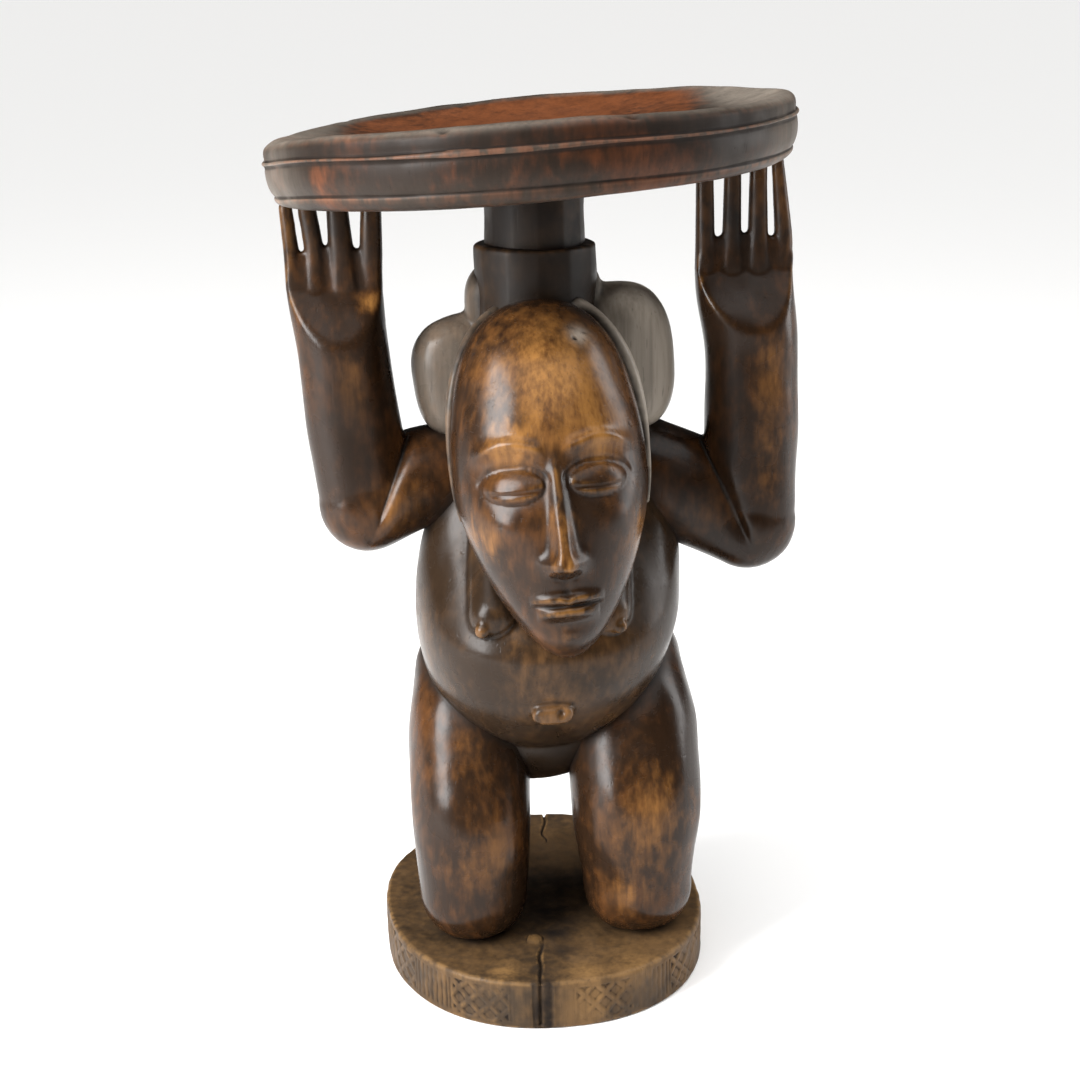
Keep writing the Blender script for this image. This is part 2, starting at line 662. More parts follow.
thighs = {side: make_thigh(word, side) for word, side in SIDES}
lower_legs = {side: make_lower_leg(word, side) for word, side in SIDES}
tell("legs", *thighs.values(), *lower_legs.values())

# %% [markdown]
# ## Trunk
# The trunk is a barrel that swells forward at the belly and is flatter behind. The hips are melted first,
# with many rounds of smoothing, so that no crease is left in them. Then barrel, hips, two long breasts
# and a raised bar at the navel are melted into one, because on the real stool they grow out of the same
# wood.

# %% Sizes of the trunk
TORSO_HALF = (74 * MM, 92 * MM)  # half the width and half the height
TORSO_LEVEL = HIP_LEVEL + 47 * MM
TORSO_TOP = TORSO_LEVEL + TORSO_HALF[1]
TORSO_SQUARENESS = 2.15
BELLY_FRONT = 78 * MM
BELLY_DROP = 24 * MM
CHEST_FRONT = 33 * MM
CHEST_RISE = 50 * MM
BACK_DEPTH = 46 * MM
BREAST_X = {-1: -33 * MM, 1: 26 * MM}
BREAST_HEIGHT = 54 * MM
BREAST_PROUD = 11 * MM  # how far its tip stands out
BREAST_RADII = ((1.0, 12.0 * MM), (0.5, 13.5 * MM), (0.0, 13.5 * MM))  # by share of the height
NIPPLE = ((6.4, -10.4, -5.2), 4.2 * MM)  # millimetres from the breast's end, and radius
NAVEL_DROP = 50 * MM
NAVEL_HALF = (11.5 * MM, 5.4 * MM, 5.8 * MM)
TRUNK_LEAN = 0.075
PELVIS_HALF = (58 * MM, 48 * MM, 46 * MM)
BUTTOCK_RADIUS = 41 * MM
FLANK_RADIUS = 36 * MM
HIP_X = {-1: -34.5 * MM, 1: 39 * MM}
HIP_VOXEL = 2 * MM
HIP_ROUNDS = 40  # enough smoothing to lose the creases

# %% Members of the trunk
def torso_front(level):
    share = ramp(level - TORSO_LEVEL + BELLY_DROP, 0, CHEST_RISE + BELLY_DROP)
    return BELLY_FRONT + (CHEST_FRONT - BELLY_FRONT) * share


def torso_surface(x, level):
    """Y of the torso's front at a distance from the midline and a level."""
    up = abs(level - TORSO_LEVEL) / TORSO_HALF[1]
    left = max(0.0, 1 - up**TORSO_SQUARENESS - (abs(x) / TORSO_HALF[0]) ** TORSO_SQUARENESS)
    return -torso_front(level) * left ** (1 / TORSO_SQUARENESS)


def hip_shapes():
    level = HIP_LEVEL - 26 * MM
    shapes = [ball((MIDLINE, HIP_BACK, level), PELVIS_HALF)]
    for _, side in SIDES:
        shapes.append(ball((MIDLINE + side * 30 * MM, HIP_BACK + 19 * MM, level), (BUTTOCK_RADIUS,) * 3))
        spot = (MIDLINE + HIP_X[side], HIP_BACK + 5 * MM, HIP_LEVEL - 4 * MM)
        shapes.append(ball(spot, (FLANK_RADIUS,) * 3))
    return shapes


def breast_shapes(side):
    x = BREAST_X[side]
    stations = []
    for share, radius in BREAST_RADII:
        level = TORSO_LEVEL + BREAST_HEIGHT * share + 3 * MM
        proud = BREAST_PROUD * (1 - 0.55 * share)
        stations.append((MIDLINE + x, torso_surface(x, level) - proud + radius, level, radius))
    (out, forward, up), radius = NIPPLE
    tip = np.array(stations[-1][:3]) + np.array((side * out, forward, up)) * MM
    return [limb(stations), ball(tip, (radius,) * 3)]


def make_trunk():
    barrel = ball((MIDLINE, 0, TORSO_LEVEL), (TORSO_HALF[0], 1.0, TORSO_HALF[1]), TORSO_SQUARENESS, 160, 120)
    spots = points_of(barrel)
    spots[:, 1] *= np.where(spots[:, 1] < 0, torso_front(spots[:, 2]), BACK_DEPTH)
    set_points(barrel, spots)
    hips = melt("hips", hip_shapes(), HIP_VOXEL, HIP_ROUNDS)
    shapes = [barrel, hips.data]
    bpy.data.objects.remove(hips)
    for _, side in SIDES:
        shapes += breast_shapes(side)
    level = TORSO_LEVEL - NAVEL_DROP
    depth = torso_surface(0, level) - 2.0 * MM
    shapes.append(ball((MIDLINE, depth, level), NAVEL_HALF, 2.7))
    trunk = melt("trunk", shapes, SOFT * 0.8, 4)
    spots = points_of(trunk.data)
    spots[:, 0] += TRUNK_LEAN * (spots[:, 2] - TORSO_LEVEL - 8 * MM)
    hole = bell((spots[:, 0] - MIDLINE) / (1.7 * MM), (spots[:, 2] - level - 2 * MM) / (2.2 * MM))
    spots[:, 1] += 2.4 * MM * hole * (spots[:, 1] < 0)
    set_points(trunk.data, spots)
    roughen(trunk, spots, (70, 0.5, 61), (24, 0.12, 62))
    return trunk


trunk = make_trunk()
tell("trunk", trunk)

# %% [markdown]
# ## Arms and hands
# Each arm is one flowing form, so the upper arm, forearm and fingers are melted together. The palm is
# made as a carver makes it: the round forearm is cut by two slanting planes, and where a plane meets the
# round it leaves the curved ridge at the wrist. The fingers stand in the thin edge and carry the seat.

# %% Sizes of the arms
SHOULDER_LEVEL = TORSO_TOP - 27 * MM
ELBOW = {-1: (-94 * MM, SHOULDER_LEVEL - 13 * MM), 1: (115.4 * MM, SHOULDER_LEVEL - 32 * MM)}
ELBOW_FORWARD = 4 * MM
ELBOW_RADIUS = 27 * MM
FOREARM_RADIUS = {-1: 24.5 * MM, 1: 25.2 * MM}
UPPER_ARM = {-1: (1.6 * MM, 0.0), 1: (-2.2 * MM, 2.2 * MM)}  # rise and swelling of its middle
ARM_FLATNESS = 0.82  # depth of the arm's section for its width
FOREARM_OUT = {-1: 1.3 * MM, 1: 3.0 * MM}  # how far the forearm bows outwards
PALM = {  # middle, half the width, and softness of its edges
    -1: (-106.2 * MM, 25.0 * MM, 1.3 * MM), 1: (111.4 * MM, 26.2 * MM, 0.6 * MM),
}
HAND_X = {-1: -107.5 * MM, 1: 109.5 * MM}
HAND_LEVELS = {-1: (24, 45, 74), 1: (40, 58, 90)}  # millimetres down to fork, finger roots and wrist
PALM_DEPTHS = (21 * MM, 4.8 * MM, 3.0 * MM)  # half the depth at the wrist, the finger roots and the fork
FINGER_DEPTH = 6.6 * MM
FINGERS = {  # millimetres from the hand's middle and half the width: at the root, at the fork and at the seat
    -1: (((-19.2, 4.8), (-20.2, 4.1), (-21.8, 3.6)), ((-7.9, 6.6), (-8.3, 5.2), (-11.0, 4.8)),
         ((7.2, 8.0), (5.7, 6.6), (4.6, 5.6)), ((21.0, 5.6), (21.4, 6.0), (22.4, 5.4))),
    1: (((-18.6, 6.2), (-19.4, 5.2), (-20.0, 4.7)), ((-5.0, 7.2), (-5.1, 5.2), (-5.1, 4.5)),
        ((9.0, 7.2), (8.9, 5.5), (8.4, 4.5)), ((22.2, 5.4), (22.5, 4.8), (18.4, 3.2))),
}
ELBOW_FOLD = 5.0  # millimetres deep
ELBOW_CREASE = {  # millimetres: both ends of the fold in x and z, its reach on the forearm and the upper arm
    -1: ((-71, 309), (-93, 257), 13, 3.0), 1: ((91, 298), (116, 240), 3.0, 13),
}

# %% Palms and fingers
def underside_at(x):
    return UNDERSIDE_LEVEL + x * math.tan(SEAT_TILT)


def soft_limit(values, limit, soft):
    """The values kept below a limit, with a rounded corner where they meet it."""
    return values - soft * np.logaddexp(0, (values - limit) / soft)


def thin(mesh, limits, soft):
    """Planes off the front and the back of an arm's part, so that it is no deeper than the limits."""
    spots = points_of(mesh)
    off = spots[:, 1] + ELBOW_FORWARD
    depth = np.maximum(soft_limit(np.abs(off), limits(spots[:, 2]), soft), 0)
    spots[:, 1] = np.sign(off) * depth - ELBOW_FORWARD
    set_points(mesh, spots)
    return mesh


def make_palm(side, fork, root, wrist):
    elbow_x, elbow_level = ELBOW[side]
    palm_x, palm_radius, soft = PALM[side]
    y = -ELBOW_FORWARD
    palm = fork - palm_radius * 0.42
    rise = palm - elbow_level
    radius = FOREARM_RADIUS[side]
    out = side * FOREARM_OUT[side]
    stations = [
        (elbow_x, y, elbow_level, ELBOW_RADIUS * 0.97),
        ((elbow_x * 2 + palm_x) / 3 + out * 0.8, y, elbow_level + rise * 0.33, radius * 1.03),
        ((elbow_x + palm_x * 2) / 3 + out, y, elbow_level + rise * 0.67, radius),
        (palm_x, y, palm - palm_radius * 0.5, palm_radius),
        (palm_x, y, palm, palm_radius),
    ]
    piece = melt("palm", [limb(stations, (1, ARM_FLATNESS, 1), 0.45)], 1.2 * MM, 0)
    mesh = piece.data
    bpy.data.objects.remove(piece)
    return thin(mesh, lambda levels: np.interp(levels, (wrist, root, fork), PALM_DEPTHS), soft)


def make_finger(x, shape, levels):
    stations = []
    for (off, half), level in zip(shape, levels):
        stations.append((x + off * MM, -ELBOW_FORWARD, level, half * MM))
    stations.insert(1, tuple((np.array(stations[0]) * 2 + stations[1]) / 3))
    return thin(limb(stations), lambda levels: np.full(len(levels), FINGER_DEPTH), 0.8 * MM)


# %% Elbows and whole arms
def fold_elbow(arm, side):
    """Cuts the fold from the crook of the arm down to the elbow, steep on one side of it."""
    start, end, outer, inner = ELBOW_CREASE[side]
    spots = points_of(arm.data)
    flat = spots[:, (0, 2)] / MM
    line = np.subtract(end, start)
    along = (flat - start) @ line / (line @ line)
    off = ((flat - start) @ (line[1], -line[0])) / math.hypot(*line) * -side
    share = np.where(off > 0, off / outer, -off / inner)
    depth = ELBOW_FOLD * np.exp(-share**1.25) * ramp(along, -0.3, 0.1) * (1 - ramp(along, 0.6, 1.1))
    front = normals_of(arm.data)[:, 1]
    spots[:, 1] -= np.sign(front) * depth * MM * ramp(np.abs(front), 0.2, 0.7)
    set_points(arm.data, spots)


def make_arm(word, side):
    elbow_x, elbow_level = ELBOW[side]
    hand_x = HAND_X[side]
    fork, root, wrist = (underside_at(hand_x) - drop * MM for drop in HAND_LEVELS[side])
    shoulder = MIDLINE + side * 52 * MM
    rise, swelling = UPPER_ARM[side]
    bend = SHOULDER_LEVEL - (SHOULDER_LEVEL - elbow_level) * 0.4 + rise
    shapes = [limb([
        (shoulder, 8 * MM, SHOULDER_LEVEL, 28 * MM),
        ((shoulder + elbow_x) / 2, 2.4 * MM, bend, 28 * MM + swelling),
        (elbow_x, -ELBOW_FORWARD, elbow_level, ELBOW_RADIUS),
    ], (1, ARM_FLATNESS, 1)), make_palm(side, fork, root, wrist)]
    for shape in FINGERS[side]:
        top = underside_at(hand_x + shape[2][0] * MM) - 1 * MM
        shapes.append(make_finger(hand_x, shape, (root, fork, top)))
    arm = melt(f"{word}_arm", shapes, 1.1 * MM, 4)
    fold_elbow(arm, side)
    spots = points_of(arm.data)
    below = 1 - ramp(spots[:, 2], fork - 30 * MM, fork - 10 * MM)
    push(arm, (waves(spots, 55 * MM, 71 + side) * 0.4 * MM + waves(spots, 20 * MM, 73) * 0.12 * MM) * below)
    return arm


arms = {side: make_arm(word, side) for word, side in SIDES}
tell("arms", *arms.values())

# %% [markdown]
# ## Coiffure and neck
# Behind the head spreads a hairstyle of broad flat lobes about a round middle, with a short neck below
# it. They are squarish balls melted with soft creases.

# %% Coiffure and neck
COIFFURE_LEVEL = TORSO_TOP + 30 * MM
COIFFURE_BACK = 6 * MM
HEAD_LEAN = Matrix.Rotation(math.radians(-4.2), 4, "Y")
COIFFURE_PLACE = Matrix.Translation((MIDLINE - 2 * MM, COIFFURE_BACK, COIFFURE_LEVEL)) @ HEAD_LEAN
LOBE_HALF_THICKNESS = 20 * MM
LOBES = (  # millimetres: place of the middle in x and z, width and height, then the squareness
    (0, 31, 75, 62, 3.2), (-35, -1.6, 70, 70, 2.6), (36.5, 0.8, 73, 83, 2.9),
)


def make_coiffure():
    shapes = [ball((0, 0, 0), (30 * MM, LOBE_HALF_THICKNESS + 5 * MM, 30 * MM))]
    for x, z, width, height, squareness in LOBES:
        halves = (width * MM / 2, LOBE_HALF_THICKNESS, height * MM / 2)
        shapes.append(ball((x * MM, 0, z * MM), halves, squareness))
    coiffure = melt("coiffure", shapes, 1.3 * MM, 5)
    spots = points_of(coiffure.data)
    push(coiffure, waves(spots, 45 * MM, 81) * 0.5 * MM + waves(spots * (1, 1, 0.25), 12 * MM, 82) * 0.1 * MM)
    coiffure.data.transform(COIFFURE_PLACE)
    return coiffure


def make_neck():
    stations = [
        (MIDLINE, 0, SHOULDER_LEVEL, 27 * MM),
        (MIDLINE, COIFFURE_BACK / 2, (SHOULDER_LEVEL + COIFFURE_LEVEL) / 2, 27 * MM),
        (MIDLINE, COIFFURE_BACK, COIFFURE_LEVEL, 16 * MM),
    ]
    return melt("neck", [limb(stations)], SOFT, 6)


coiffure = make_coiffure()
neck = make_neck()
tell("coiffure and neck", coiffure, neck)

# %% [markdown]
# ## Head
# The head is a long egg with its chin thrust forward. The face is a plain calm one of the carver's
# schoolbook: eyes half way up, nose and mouth by thirds, lids lowered. Every feature is a bump or a
# hollow in one height formula, so the whole face is a short list of sizes. Columns are crowded to the
# front, where the fine cuts are.

# %% Sizes of the head
HEAD_HALF = (50.5, 45.0, 93.0)  # millimetres
CROWN_SQUARENESS = 2.35
JAW_TAPER = 0.30
NAPE_HOLLOW = 0.75
CROWDING = 0.5  # how far the columns are drawn to the front
CROWN_LEVEL = COIFFURE_LEVEL + 44.2 * MM
HEAD_PITCH = math.radians(14)
HEAD_LEVEL = CROWN_LEVEL - HEAD_HALF[2] * MM * math.cos(HEAD_PITCH)
HEAD_TURN = HEAD_LEAN @ Matrix.Rotation(-HEAD_PITCH, 4, "X")
HEAD_PLACE = Matrix.Translation((MIDLINE - 2.6 * MM, -58 * MM, HEAD_LEVEL)) @ HEAD_TURN
BAND = {-1: (3.4, 3.4), 1: (6.4, 4.8)}  # millimetres that the hairband stands out, and half its breadth
CHIP = (20.0, -24.0, 71.0)  # a chipped spot, in the head's own frame
EYE_X = 21.0
NOSE_BASE = -46.5
MOUTH = -63.0

# %% Face
def lump(*shares):
    """A rounded lump with a clear edge, 1 in its middle and 0 from its edge outwards."""
    return np.clip(1 - sum(np.square(share) for share in shares), 0, 1) ** 0.6


def face_relief(x, z):
    """How far the face stands out, in millimetres, at a place in the head's own frame."""
    side = np.abs(x)
    brow_level = 15 + 5 * bell((side - 24) / 14)
    brow = bell((z - brow_level) / 3.6) * ramp(side, 3, 11) * (1 - ramp(side, 34, 44))
    relief = 2.8 * brow - 5.2 * bell((side - EYE_X) / 17, (z - 3) / 12)
    relief += 5.6 * lump((side - EYE_X) / 15, (z + 1) / 8.5)
    slit = z + 3.2 + 1.6 * (1 - np.square((side - EYE_X) / 15))
    relief -= 1.5 * bell(slit / 0.7) * (1 - ramp(np.abs(side - EYE_X), 11, 15))
    lid = np.hypot((side - EYE_X) / 17.5, (z + 1) / 11)
    relief -= 0.8 * bell((lid - 1) / 0.06) * ramp(z, -2, 4)
    down = np.clip((8 - z) / (8 - NOSE_BASE), 0, 1)
    ridge = bell((side / (3.6 + 2.6 * down)) ** 1.3)
    relief += (1.6 + 9.4 * down**1.3) * ridge * (1 - ramp(z, 4, 16)) * ramp(z, NOSE_BASE - 3, NOSE_BASE + 3)
    relief += 4.4 * bell((side - 7.8) / 4.6, (z - NOSE_BASE - 5) / 5)
    relief -= 1.5 * bell((side - 5) / 2.6, (z - NOSE_BASE + 0.5) / 2.2)
    relief -= 0.8 * bell(x / 2.6) * ramp(z, MOUTH + 4, MOUTH + 8) * (1 - ramp(z, NOSE_BASE - 4, NOSE_BASE))
    upper = np.sqrt(np.clip(1 - np.square(x / 19), 0, 1))
    lower = np.sqrt(np.clip(1 - np.square(x / 16), 0, 1))
    dip = 1.1 * bell(x / 3.0)
    relief += 3.4 * upper * bell((z - MOUTH - 3.6 + dip) / 3.0) + 3.9 * lower * bell((z - MOUTH + 3.9) / 3.2)
    line = z - MOUTH - 1.5 * np.square(x / 19)
    relief -= 1.9 * bell(line / 0.8) * (1 - ramp(side, 15, 20))
    relief -= 1.4 * bell(x / 14, (z - MOUTH + 11) / 4)
    relief += 2.2 * bell(x / 13, (z - MOUTH + 19) / 7)
    relief += 2.2 * bell((side - 30) / 13, (z + 22) / 12)
    return relief - 1.2 * bell((side - 43) / 8, (z - 8) / 15)


# %% Skull and hairbands
def head_half_width(up):
    """Half the head's width, as a share, at a level from -1 at the chin to 1 at the crown."""
    down = np.clip(-up, 0, 1)
    above = np.clip(up, 0, 1)
    crown = (1 - above**CROWN_SQUARENESS) ** (1 / CROWN_SQUARENESS)
    return np.where(up > 0, crown, np.sqrt(1 - down**2) * (1 - JAW_TAPER * down**1.3))


def make_head():
    mesh = unit_ball("head", 264, 270)
    head = new_piece("head", mesh)
    unit = points_of(mesh)
    ring = np.hypot(unit[:, 0], unit[:, 1])
    angle = np.arctan2(unit[:, 0], -unit[:, 1])
    angle -= CROWDING * np.sin(angle)
    spots = np.column_stack((ring * np.sin(angle), -ring * np.cos(angle), unit[:, 2])) * HEAD_HALF
    down = np.clip(-unit[:, 2], 0, 1)
    spots[:, 0] *= head_half_width(unit[:, 2]) / np.maximum(ring, 1e-6)
    spots[:, 1] *= np.where(spots[:, 1] > 0, 1 - NAPE_HOLLOW * down**0.7, 1)
    front = ramp(-spots[:, 1] / HEAD_HALF[1], 0.05, 0.35)
    spots[:, 1] -= face_relief(spots[:, 0], spots[:, 2]) * front
    chip = bell((spots[:, 0] - CHIP[0]) / 4.5, (spots[:, 2] - CHIP[2]) / 5) * front
    pits = np.clip(waves(spots * MM, 5 * MM, 93) - 0.3, 0, 1)
    spots -= (np.array(CHIP) / np.linalg.norm(CHIP)) * (chip * (0.5 + 1.3 * pits))[:, None]
    set_points(mesh, spots * MM)
    push(head, waves(spots * MM, 50 * MM, 91) * 0.35 * MM * ramp(spots[:, 2], 18, 40))
    mesh.transform(HEAD_PLACE)
    return head


def make_hairband(word, side):
    """Half of the raised band at the hairline, from the column to the ear, where it thins out."""
    proud, half = BAND[side]
    stations = []
    for degrees in np.linspace(4, 100, 17):
        up, out = math.cos(math.radians(degrees)), math.sin(math.radians(degrees))
        share = 1 - 0.7 * ramp(degrees, 50, 100)
        off = (proud - half) * share
        x = HEAD_HALF[0] * head_half_width(up) + off * out
        back = 3 + 15 * (1 - ramp(degrees, 4, 48))
        stations.append((side * x * MM, back * MM, (HEAD_HALF[2] + off) * up * MM, half * share * MM))
    band = melt(f"{word}_hairband", [limb(stations)], 0.8 * MM, 2)
    band.data.transform(HEAD_PLACE)
    return band


head = make_head()
hairbands = {side: make_hairband(word, side) for word, side in SIDES}
tell("head and hairbands", head, *hairbands.values())

# %% [markdown]
# ## Where the wood is worn
# Hands rub edges and round fronts bright, and dust and oil settle in the creases. Both are measured on
# the meshes: an edge is where the skin bends outwards, and a crease is where it bends inwards or comes
# close to a neighbour. The results are stored as attributes, which the finishes read.

# %% Spots of wear
pieces = [seat, collar, stem, base, trunk, coiffure, neck, head]
for group_of in (thighs, lower_legs, arms, hairbands):
    pieces += list(group_of.values())
CREASE_REACH = 7 * MM
DUSTY = {coiffure: 0.62, hairbands[-1]: 0.62, hairbands[1]: 0.56}
SOOTY = {stem: 1.0, collar: 0.85}
RUBBED = {  # millimetres: place, radius and strength of spots that hands have rubbed bright
    "head": (((0, -80, 360), 32, 1.0), ((-22, -90, 326), 14, 0.7), ((26, -90, 327), 14, 0.7),
             ((6, -122, 272), 12, 0.9), ((5, -112, 292), 9, 0.8), ((-32, -84, 275), 14, 0.7),
             ((44, -84, 279), 14, 0.6), ((9, -116, 230), 12, 0.6)),
    "right_thigh": (((-40, -66, 85), 24, 0.4), ((-46, -45, 140), 20, 0.2)),
    "left_thigh": (((55, -68, 92), 27, 0.48), ((62, -58, 122), 20, 0.36), ((40, -64, 60), 12, 0.4)),
    "right_arm": (*(((-100, -24, z), 6, 0.34) for z in (356, 347, 338, 329)), ((-75, -24, 276), 13, 0.4),
                  ((-88, -14, 385), 6, 1.0)),
    "left_arm": (*(((123, -24, z), 12, 0.26) for z in (352, 334, 316, 298, 282)), ((92, -22, 268), 12, 0.3)),
    "trunk": (((-28, -82, 222), 13, 0.7), ((30, -82, 222), 13, 0.7), ((4, -76, 172), 11, 0.45),
              ((4, -80, 205), 34, 0.35)),
    "seat": (((-108, -84, 456), 9, 0.5), ((-20, -136, 458), 14, 0.2), ((40, -131, 462), 14, 0.25)),
    "base": (((-29, -86, 28), 10, 0.9), ((14, -88, 28), 9, 0.7), ((42, -83, 28), 11, 0.6),
             ((-11, -52, 28), 4.5, 1.0), ((14, -98, 14), 12, 0.5)),
}
STAINED = {  # millimetres: place, radius and strength of spots that dirt has darkened
    "base": (((2, -24, 28), 22, 1.0), ((4, 5, 28), 30, 1.0), ((4, 50, 28), 30, 0.35), ((2, -46, 28), 13, 1.0),
             ((4, -64, 28), 9, 0.8), ((-11, -84, 28), 6, 1.0),
             *(((-10.6, -99, z), 6.2, 1.5) for z in (2, 8, 14, 20, 26))),
    "trunk": (((4, -20, 140), 26, 0.9), ((4, -66, 152), 18, 0.6)),
    "right_arm": (((-107, -4, 420), 22, 0.85), ((-104, -22, 335), 20, 0.75), ((-96, -22, 305), 18, 0.6)),
    "left_arm": (((110, -4, 424), 26, 0.95), ((98, -20, 335), 16, 0.9), ((100, -20, 305), 14, 0.8),
                 ((76, -20, 275), 22, 0.6)),
}

# %% Edges and creases
def spread(values, edges, rounds):
    """The values averaged with their neighbours along the edges."""
    count = np.bincount(edges.ravel(), minlength=len(values))
    for _ in range(rounds):
        total = np.bincount(edges[:, 0], values[edges[:, 1]], len(values))
        total += np.bincount(edges[:, 1], values[edges[:, 0]], len(values))
        values = 0.5 * values + 0.5 * total / np.maximum(count, 1)
    return values


def bend_of(mesh, rounds):
    """How sharply the skin bends, in turns per metre: positive on an edge and negative in a crease."""
    edges = np.empty(len(mesh.edges) * 2, np.int32)
    mesh.edges.foreach_get("vertices", edges)
    edges = edges.reshape(-1, 2)
    spots = points_of(mesh)
    normals = normals_of(mesh)
    step = spots[edges[:, 1]] - spots[edges[:, 0]]
    long = np.einsum("ij,ij->i", step, step) + 1e-12
    first = np.einsum("ij,ij->i", step, normals[edges[:, 0]]) / long
    second = -np.einsum("ij,ij->i", step, normals[edges[:, 1]]) / long
    total = np.bincount(edges[:, 0], first, len(spots)) + np.bincount(edges[:, 1], second, len(spots))
    count = np.bincount(edges.ravel(), minlength=len(spots))
    return spread(-2 * total / np.maximum(count, 1), edges, rounds)


def closeness(piece, others):
    """How near each vertex is to the other pieces: 1 where they touch and 0 past the reach."""
    spots = points_of(piece.data)
    best = np.full(len(spots), CREASE_REACH)
    for low, high, tree in others:
        beside = np.all((spots > low - CREASE_REACH) & (spots < high + CREASE_REACH), axis=1)
        for index in np.flatnonzero(beside):
            hit = tree.find_nearest(spots[index], best[index])
            if hit[3] is not None:
                best[index] = hit[3]
    return 1 - best / CREASE_REACH


# %% Store the wear
def store(mesh, name, values):
    layer = mesh.attributes.new(name, "FLOAT", "POINT")
    layer.data.foreach_set("value", values.astype(np.float32))


def seat_wear(spots, edge):
    """The seat's red dish, its dusty crest and ends, and the dark band round the top of its wall."""
    level = np.array(SEAT_PLACE.inverted())
    level = spots @ level[:3, :3].T + level[:3, 3] / MM
    away = np.hypot(level[:, 0], level[:, 1])
    wall = ramp(away, 130, 134)
    ends = ramp(np.abs(level[:, 0]), 82, 112) * ramp(seat_heights, 19, 25)
    dish = (1 - ramp(away, 120, 130)) * ramp(seat_heights, 8, 12) * (1 - ends)
    crest = bell((seat_heights - 32) / 1.6) * ramp(away, 124, 128)
    low_band = 1 - ramp(seat_heights, 6, 17)
    high_band = wall * ramp(seat_heights, 23, 25) * (1 - ramp(seat_heights, 28, 30.5))
    tips = ramp(level[:, 0], 92, 128) + ramp(-level[:, 0], 108, 136)
    dusty = 0.10 * edge + 0.24 * tips + 0.03 * low_band
    dusty += np.maximum(0.28 * crest, 0.34 * ends * (1 - wall))
    return dish, dusty * (1 - dish), 0.55 * high_band * (1 - dish)


def mark_wear():
    trees = {}
    for piece in pieces:
        spots = points_of(piece.data)
        faces = [tuple(face.vertices) for face in piece.data.polygons]
        trees[piece.name] = (spots.min(0), spots.max(0), BVHTree.FromPolygons(spots.tolist(), faces))
    for piece in pieces:
        mesh = piece.data
        touch = closeness(piece, [tree for name, tree in trees.items() if name != piece.name])
        bend = bend_of(mesh, 4)
        edge = ramp(bend, 45, 260)
        spots = points_of(mesh) / MM
        name = piece.name.removesuffix("_wood")
        rubbed = np.zeros(len(spots))
        for place, radius, strength in RUBBED.get(name, ()):
            rubbed += strength * near(spots, place, radius)
        stain = np.full(len(spots), SOOTY.get(piece, 0.0))
        for place, radius, strength in STAINED.get(name, ()):
            stain = np.maximum(stain, strength * near(spots, place, radius))
        dusty = DUSTY.get(piece, 0.0) * (0.36 + 1.5 * ramp(spots[:, 0], -40, 60))
        if piece is head:
            dusty = 0.9 * near(spots, HEAD_PLACE @ (Vector(CHIP) * MM) / MM, 5.0)
        if piece is seat:
            dish, dusty, band = seat_wear(spots, edge)
            rubbed += dish
            stain = np.maximum(stain, band)
        store(mesh, "edge", edge)
        store(mesh, "crease", np.clip(np.maximum(ramp(-bend, 25, 220) + touch**1.5, stain), 0, 1))
        store(mesh, "rubbed", np.clip(rubbed, 0, 1))
        store(mesh, "dusty", dusty)


mark_wear()
tell(f"{len(pieces)} pieces", *pieces)

# %% [markdown]
# ## Wood, built once
# All the finishes are one kind of wood, so what they share is made as node groups: the grain with its
# pores, the patina that is dark where it is old and brown where it is rubbed, the grime in creases, and
# the marks of the tools. Each group has named inputs, so a finish only has to give its own colours and
# amounts.

# %% Noise and groups
def noise(tree, scale, detail=3.0, stretch=(1, 1, 1)):
    """Noise in the stool's own frame, so that it runs on from one member to the next."""
    where = add(tree, "ShaderNodeTexCoord").outputs["Object"]
    if stretch != (1, 1, 1):
        where = add(tree, "ShaderNodeMapping", {"Vector": where, "Scale": stretch}).outputs[0]
    return add(tree, "ShaderNodeTexNoise", {"Vector": where, "Scale": scale, "Detail": detail}).outputs[0]


def weigh(tree, *terms):
    """The sum of values, each times its weight."""
    total = 0.0
    for value, weight in terms:
        total = add(tree, "ShaderNodeMath", (value, weight, total), operation="MULTIPLY_ADD").outputs[0]
    return total


def new_group(name, inputs, outputs):
    """An empty node group. An input is a name with its kind of value, and so is an output."""
    tree = bpy.data.node_groups.new(name, "ShaderNodeTree")
    for word, kind in inputs:
        tree.interface.new_socket(word, in_out="INPUT", socket_type=f"NodeSocket{kind}")
    for word, kind in outputs:
        tree.interface.new_socket(word, in_out="OUTPUT", socket_type=f"NodeSocket{kind}")
    return tree, tree.nodes.new("NodeGroupInput").outputs, tree.nodes.new("NodeGroupOutput").inputs


def close_group(tree, out, **values):
    for word, value in values.items():
        tree.links.new(value, out[word])
    print("group", tree.name)
    return tree


# %% Wood grain group
def make_grain():
    """Long streaks up the trunk, and short dark pores."""
    outputs = [("Streaks", "Float"), ("Pores", "Float"), ("Height", "Float")]
    tree, _, out = new_group("wood_grain", [], outputs)
    broad = noise(tree, 1.0, 4.0, (95, 95, 7))
    fine = noise(tree, 1.0, 2.0, (520, 520, 26))
    streaks = weigh(tree, (broad, 0.6), (fine, 0.4))
    pores = fade(tree, noise(tree, 1.0, 1.0, (900, 900, 85)), 0.66, 0.76)
    height = weigh(tree, (streaks, 1.0), (pores, -0.5))
    return close_group(tree, out, Streaks=streaks, Pores=pores, Height=height)


grain_group = make_grain()

